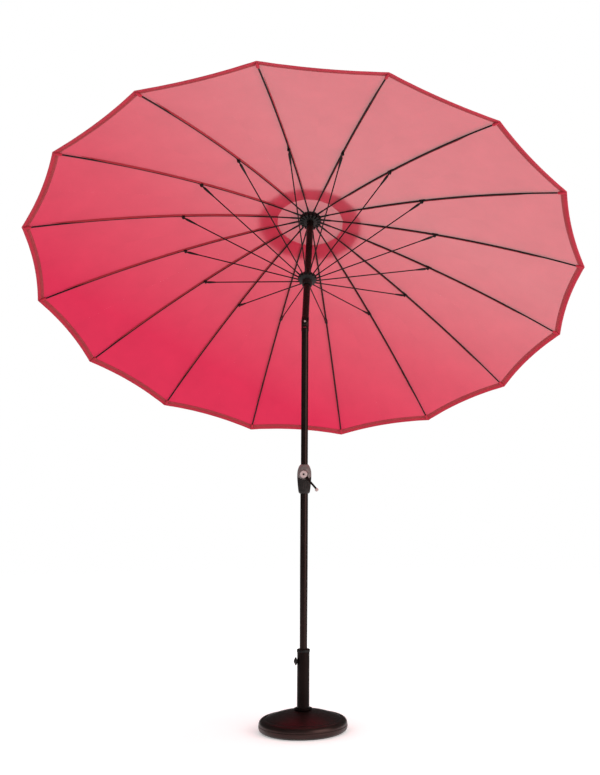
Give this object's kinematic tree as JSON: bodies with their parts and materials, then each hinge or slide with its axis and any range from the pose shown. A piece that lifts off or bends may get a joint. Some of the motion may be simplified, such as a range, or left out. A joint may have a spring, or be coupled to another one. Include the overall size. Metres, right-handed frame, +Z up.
{
  "type": "patio umbrella with base",
  "caption": "Crank-lift patio umbrella with a sixteen-rib red fabric canopy, tilted on its pole, in a round weighted base.",
  "frame": {"origin": "middle of the base's underside, on the ground under the pole", "axes": "+Z up along the lower pole; the crank faces -Y and the tilted canopy leans towards +Y; +X is to the right seen from the crank's side"},
  "size_m": [2.6876, 2.2798, 2.8346],
  "materials": {
    "rubber_pad": "matte",
    "iron": "matte",
    "black_metal": "satin",
    "pole_metal": "satin",
    "black_plastic": "satin",
    "housing_plastic": "satin",
    "pale_plastic": "satin",
    "steel": "satin",
    "canopy_fabric": "matte",
    "rib_fibreglass": "satin",
    "strut_metal": "satin"
  },
  "bodies": {
    "base": {"base_pad": "rubber_pad", "base_ballast": "iron", "base_cover": "black_metal", "stem_tube": "black_metal", "stem_flange": "black_metal", "stem_collar": "black_plastic"},
    "clamp_knob": {"locking_knob": "black_plastic"},
    "pole_foot": {"pole_foot_plug": "black_plastic"},
    "pole": {"lower_pole": "pole_metal", "mid_pole": "pole_metal", "crank_housing_front": "housing_plastic", "crank_housing_rear": "housing_plastic", "tilt_fork": "black_metal", "tilt_pin": "steel"},
    "crank": {"crank_shaft": "steel", "crank_arm": "black_metal", "crank_cap": "pale_plastic"},
    "crank_grip": {"crank_knob": "pale_plastic"},
    "upper_frame": {"tilt_tongue": "black_metal", "upper_pole": "pole_metal", "top_hub": "black_plastic", "hub_wire": "steel", "finial": "black_plastic", "canopy": "canopy_fabric", "vent_cap": "canopy_fabric"},
    "tilt_catch": {"tilt_button": "pale_plastic"},
    "pulley": {"cord_pulley": "black_plastic"},
    "slider": {"runner": "black_plastic"},
    "rib_arm_01": {"rib_01": "rib_fibreglass"},
    "strut_arm_01": {"strut_01": "strut_metal"},
    "rib_arm_02": {"rib_02": "rib_fibreglass"},
    "strut_arm_02": {"strut_02": "strut_metal"},
    "rib_arm_03": {"rib_03": "rib_fibreglass"},
    "strut_arm_03": {"strut_03": "strut_metal"},
    "rib_arm_04": {"rib_04": "rib_fibreglass"},
    "strut_arm_04": {"strut_04": "strut_metal"},
    "rib_arm_05": {"rib_05": "rib_fibreglass"},
    "strut_arm_05": {"strut_05": "strut_metal"},
    "rib_arm_06": {"rib_06": "rib_fibreglass"},
    "strut_arm_06": {"strut_06": "strut_metal"},
    "rib_arm_07": {"rib_07": "rib_fibreglass"},
    "strut_arm_07": {"strut_07": "strut_metal"},
    "rib_arm_08": {"rib_08": "rib_fibreglass"},
    "strut_arm_08": {"strut_08": "strut_metal"},
    "rib_arm_09": {"rib_09": "rib_fibreglass"},
    "strut_arm_09": {"strut_09": "strut_metal"},
    "rib_arm_10": {"rib_10": "rib_fibreglass"},
    "strut_arm_10": {"strut_10": "strut_metal"},
    "rib_arm_11": {"rib_11": "rib_fibreglass"},
    "strut_arm_11": {"strut_11": "strut_metal"},
    "rib_arm_12": {"rib_12": "rib_fibreglass"},
    "strut_arm_12": {"strut_12": "strut_metal"},
    "rib_arm_13": {"rib_13": "rib_fibreglass"},
    "strut_arm_13": {"strut_13": "strut_metal"},
    "rib_arm_14": {"rib_14": "rib_fibreglass"},
    "strut_arm_14": {"strut_14": "strut_metal"},
    "rib_arm_15": {"rib_15": "rib_fibreglass"},
    "strut_arm_15": {"strut_15": "strut_metal"},
    "rib_arm_16": {"rib_16": "rib_fibreglass"},
    "strut_arm_16": {"strut_16": "strut_metal"}
  },
  "joints": [
    {"name": "clamp_knob_turn", "type": "hinge", "parent": "base", "child": "clamp_knob", "pos_m": [0, 0, 0.322], "axis": [-0.9563, -0.2924, 0], "range_deg": [0, 720]},
    {"name": "pole_lift", "type": "slide", "parent": "base", "child": "pole_foot", "axis": [0, 0, 1], "range_m": [0, 0.34]},
    {"name": "pole_swivel", "type": "hinge", "parent": "pole_foot", "child": "pole", "pos_m": [0, 0, 0.05], "axis": [0, 0, 1], "continuous": true},
    {"name": "runner_slide", "type": "slide", "parent": "upper_frame", "child": "slider", "axis": [0, -0.5299, -0.848], "range_m": [0, 0.215]},
    {"name": "crank_turn", "type": "hinge", "parent": "pole", "child": "crank", "pos_m": [0, 0, 1.195], "axis": [0, -1, 0], "range_deg": [0, 1298]},
    {"name": "crank_grip_spin", "type": "hinge", "parent": "crank", "child": "crank_grip", "pos_m": [0.06298, -0.06, 1.12255], "axis": [0, -1, 0], "continuous": true},
    {"name": "canopy_tilt", "type": "hinge", "parent": "pole", "child": "upper_frame", "pos_m": [0, 0, 1.912], "axis": [-1, 0, 0], "range_deg": [-32, 0]},
    {"name": "tilt_button_press", "type": "slide", "parent": "upper_frame", "child": "tilt_catch", "axis": [0, 0.848, -0.5299], "range_m": [0, 0.003], "stiffness_N_per_m": 400},
    {"name": "pulley_spin", "type": "hinge", "parent": "upper_frame", "child": "pulley", "pos_m": [0, 0.33968, 2.4556], "axis": [1, 0, 0], "range_deg": [0, 1450]},
    {"name": "rib_fold_01", "type": "hinge", "parent": "upper_frame", "child": "rib_arm_01", "pos_m": [0.04579, 0.35396, 2.48677], "axis": [0.0958, 0.8441, -0.5275], "range_deg": [0, 12.3]},
    {"name": "strut_fold_01", "type": "hinge", "parent": "rib_arm_01", "child": "strut_arm_01", "pos_m": [0.62909, 0.22021, 2.37871], "axis": [-0.0958, -0.8441, 0.5275], "range_deg": [0, 21.9]},
    {"name": "rib_fold_02", "type": "hinge", "parent": "upper_frame", "child": "rib_arm_02", "pos_m": [0.04399, 0.3691, 2.47731], "axis": [-0.2924, 0.811, -0.5068], "range_deg": [0, 12.3]},
    {"name": "strut_fold_02", "type": "hinge", "parent": "rib_arm_02", "child": "strut_arm_02", "pos_m": [0.60438, 0.42828, 2.2487], "axis": [0.2924, -0.811, 0.5068], "range_deg": [0, 21.9]},
    {"name": "rib_fold_03", "type": "hinge", "parent": "upper_frame", "child": "rib_arm_03", "pos_m": [0.03549, 0.38251, 2.46893], "axis": [-0.6361, 0.6544, -0.4089], "range_deg": [0, 12.3]},
    {"name": "strut_fold_03", "type": "hinge", "parent": "rib_arm_03", "child": "strut_arm_03", "pos_m": [0.48767, 0.61249, 2.13359], "axis": [0.6361, -0.6544, 0.4089], "range_deg": [0, 21.9]},
    {"name": "rib_fold_04", "type": "hinge", "parent": "upper_frame", "child": "rib_arm_04", "pos_m": [0.0216, 0.39214, 2.46291], "axis": [-0.8829, 0.3981, -0.2488], "range_deg": [0, 12.3]},
    {"name": "strut_fold_04", "type": "hinge", "parent": "rib_arm_04", "child": "strut_arm_04", "pos_m": [0.29671, 0.74481, 2.05091], "axis": [0.8829, -0.3981, 0.2488], "range_deg": [0, 21.9]},
    {"name": "rib_fold_05", "type": "hinge", "parent": "upper_frame", "child": "rib_arm_05", "pos_m": [0.00441, 0.39653, 2.46017], "axis": [-0.9954, 0.0813, -0.0508], "range_deg": [0, 12.3]},
    {"name": "strut_fold_05", "type": "hinge", "parent": "rib_arm_05", "child": "strut_arm_05", "pos_m": [0.06057, 0.80508, 2.01325], "axis": [0.9954, -0.0813, 0.0508], "range_deg": [0, 21.9]},
    {"name": "rib_fold_06", "type": "hinge", "parent": "upper_frame", "child": "rib_arm_06", "pos_m": [-0.01345, 0.395, 2.46112], "axis": [-0.9563, -0.2479, 0.1549], "range_deg": [0, 12.3]},
    {"name": "strut_fold_06", "type": "hinge", "parent": "rib_arm_06", "child": "strut_arm_06", "pos_m": [-0.18478, 0.78412, 2.02634], "axis": [0.9563, 0.2479, -0.1549], "range_deg": [0, 21.9]},
    {"name": "rib_fold_07", "type": "hinge", "parent": "upper_frame", "child": "rib_arm_07", "pos_m": [-0.02926, 0.3878, 2.46562], "axis": [-0.7716, -0.5394, 0.3371], "range_deg": [0, 12.3]},
    {"name": "strut_fold_07", "type": "hinge", "parent": "rib_arm_07", "child": "strut_arm_07", "pos_m": [-0.402, 0.68514, 2.08819], "axis": [0.7716, 0.5394, -0.3371], "range_deg": [0, 21.9]},
    {"name": "rib_fold_08", "type": "hinge", "parent": "upper_frame", "child": "rib_arm_08", "pos_m": [-0.04062, 0.37601, 2.47299], "axis": [-0.4695, -0.7488, 0.4679], "range_deg": [0, 12.3]},
    {"name": "strut_fold_08", "type": "hinge", "parent": "rib_arm_08", "child": "strut_arm_08", "pos_m": [-0.55802, 0.5232, 2.18938], "axis": [0.4695, 0.7488, -0.4679], "range_deg": [0, 21.9]},
    {"name": "rib_fold_09", "type": "hinge", "parent": "upper_frame", "child": "rib_arm_09", "pos_m": [-0.04579, 0.36143, 2.4821], "axis": [-0.0958, -0.8441, 0.5275], "range_deg": [0, 12.3]},
    {"name": "strut_fold_09", "type": "hinge", "parent": "rib_arm_09", "child": "strut_arm_09", "pos_m": [-0.62909, 0.32295, 2.31452], "axis": [0.0958, 0.8441, -0.5275], "range_deg": [0, 21.9]},
    {"name": "rib_fold_10", "type": "hinge", "parent": "upper_frame", "child": "rib_arm_10", "pos_m": [-0.04399, 0.34629, 2.49156], "axis": [0.2924, -0.811, 0.5068], "range_deg": [0, 12.3]},
    {"name": "strut_fold_10", "type": "hinge", "parent": "rib_arm_10", "child": "strut_arm_10", "pos_m": [-0.60438, 0.11488, 2.44453], "axis": [-0.2924, 0.811, -0.5068], "range_deg": [0, 21.9]},
    {"name": "rib_fold_11", "type": "hinge", "parent": "upper_frame", "child": "rib_arm_11", "pos_m": [-0.03549, 0.33288, 2.49994], "axis": [0.6361, -0.6544, 0.4089], "range_deg": [0, 12.3]},
    {"name": "strut_fold_11", "type": "hinge", "parent": "rib_arm_11", "child": "strut_arm_11", "pos_m": [-0.48767, -0.06934, 2.55964], "axis": [-0.6361, 0.6544, -0.4089], "range_deg": [0, 21.9]},
    {"name": "rib_fold_12", "type": "hinge", "parent": "upper_frame", "child": "rib_arm_12", "pos_m": [-0.0216, 0.32325, 2.50596], "axis": [0.8829, -0.3981, 0.2488], "range_deg": [0, 12.3]},
    {"name": "strut_fold_12", "type": "hinge", "parent": "rib_arm_12", "child": "strut_arm_12", "pos_m": [-0.29671, -0.20165, 2.64232], "axis": [-0.8829, 0.3981, -0.2488], "range_deg": [0, 21.9]},
    {"name": "rib_fold_13", "type": "hinge", "parent": "upper_frame", "child": "rib_arm_13", "pos_m": [-0.00441, 0.31887, 2.5087], "axis": [0.9954, -0.0813, 0.0508], "range_deg": [0, 12.3]},
    {"name": "strut_fold_13", "type": "hinge", "parent": "rib_arm_13", "child": "strut_arm_13", "pos_m": [-0.06057, -0.26192, 2.67998], "axis": [-0.9954, 0.0813, -0.0508], "range_deg": [0, 21.9]},
    {"name": "rib_fold_14", "type": "hinge", "parent": "upper_frame", "child": "rib_arm_14", "pos_m": [0.01345, 0.32039, 2.50774], "axis": [0.9563, 0.2479, -0.1549], "range_deg": [0, 12.3]},
    {"name": "strut_fold_14", "type": "hinge", "parent": "rib_arm_14", "child": "strut_arm_14", "pos_m": [0.18478, -0.24097, 2.66689], "axis": [-0.9563, -0.2479, 0.1549], "range_deg": [0, 21.9]},
    {"name": "rib_fold_15", "type": "hinge", "parent": "upper_frame", "child": "rib_arm_15", "pos_m": [0.02926, 0.32759, 2.50324], "axis": [0.7716, 0.5394, -0.3371], "range_deg": [0, 12.3]},
    {"name": "strut_fold_15", "type": "hinge", "parent": "rib_arm_15", "child": "strut_arm_15", "pos_m": [0.402, -0.14199, 2.60504], "axis": [-0.7716, -0.5394, 0.3371], "range_deg": [0, 21.9]},
    {"name": "rib_fold_16", "type": "hinge", "parent": "upper_frame", "child": "rib_arm_16", "pos_m": [0.04062, 0.33938, 2.49588], "axis": [0.4695, 0.7488, -0.4679], "range_deg": [0, 12.3]},
    {"name": "strut_fold_16", "type": "hinge", "parent": "rib_arm_16", "child": "strut_arm_16", "pos_m": [0.55802, 0.01996, 2.50384], "axis": [-0.4695, -0.7488, 0.4679], "range_deg": [0, 21.9]}
  ],
  "couplings": [
    {"joint": "crank_turn", "follows": "runner_slide", "rad_per_m": 105.26},
    {"joint": "pulley_spin", "follows": "runner_slide", "rad_per_m": 117.65},
    {"joint": "rib_fold_01", "follows": "runner_slide", "rad_per_m": 0.9848},
    {"joint": "strut_fold_01", "follows": "runner_slide", "rad_per_m": 1.7643},
    {"joint": "rib_fold_02", "follows": "runner_slide", "rad_per_m": 0.9848},
    {"joint": "strut_fold_02", "follows": "runner_slide", "rad_per_m": 1.7643},
    {"joint": "rib_fold_03", "follows": "runner_slide", "rad_per_m": 0.9848},
    {"joint": "strut_fold_03", "follows": "runner_slide", "rad_per_m": 1.7643},
    {"joint": "rib_fold_04", "follows": "runner_slide", "rad_per_m": 0.9848},
    {"joint": "strut_fold_04", "follows": "runner_slide", "rad_per_m": 1.7643},
    {"joint": "rib_fold_05", "follows": "runner_slide", "rad_per_m": 0.9848},
    {"joint": "strut_fold_05", "follows": "runner_slide", "rad_per_m": 1.7643},
    {"joint": "rib_fold_06", "follows": "runner_slide", "rad_per_m": 0.9848},
    {"joint": "strut_fold_06", "follows": "runner_slide", "rad_per_m": 1.7643},
    {"joint": "rib_fold_07", "follows": "runner_slide", "rad_per_m": 0.9848},
    {"joint": "strut_fold_07", "follows": "runner_slide", "rad_per_m": 1.7643},
    {"joint": "rib_fold_08", "follows": "runner_slide", "rad_per_m": 0.9848},
    {"joint": "strut_fold_08", "follows": "runner_slide", "rad_per_m": 1.7643},
    {"joint": "rib_fold_09", "follows": "runner_slide", "rad_per_m": 0.9848},
    {"joint": "strut_fold_09", "follows": "runner_slide", "rad_per_m": 1.7643},
    {"joint": "rib_fold_10", "follows": "runner_slide", "rad_per_m": 0.9848},
    {"joint": "strut_fold_10", "follows": "runner_slide", "rad_per_m": 1.7643},
    {"joint": "rib_fold_11", "follows": "runner_slide", "rad_per_m": 0.9848},
    {"joint": "strut_fold_11", "follows": "runner_slide", "rad_per_m": 1.7643},
    {"joint": "rib_fold_12", "follows": "runner_slide", "rad_per_m": 0.9848},
    {"joint": "strut_fold_12", "follows": "runner_slide", "rad_per_m": 1.7643},
    {"joint": "rib_fold_13", "follows": "runner_slide", "rad_per_m": 0.9848},
    {"joint": "strut_fold_13", "follows": "runner_slide", "rad_per_m": 1.7643},
    {"joint": "rib_fold_14", "follows": "runner_slide", "rad_per_m": 0.9848},
    {"joint": "strut_fold_14", "follows": "runner_slide", "rad_per_m": 1.7643},
    {"joint": "rib_fold_15", "follows": "runner_slide", "rad_per_m": 0.9848},
    {"joint": "strut_fold_15", "follows": "runner_slide", "rad_per_m": 1.7643},
    {"joint": "rib_fold_16", "follows": "runner_slide", "rad_per_m": 0.9848},
    {"joint": "strut_fold_16", "follows": "runner_slide", "rad_per_m": 1.7643}
  ]
}
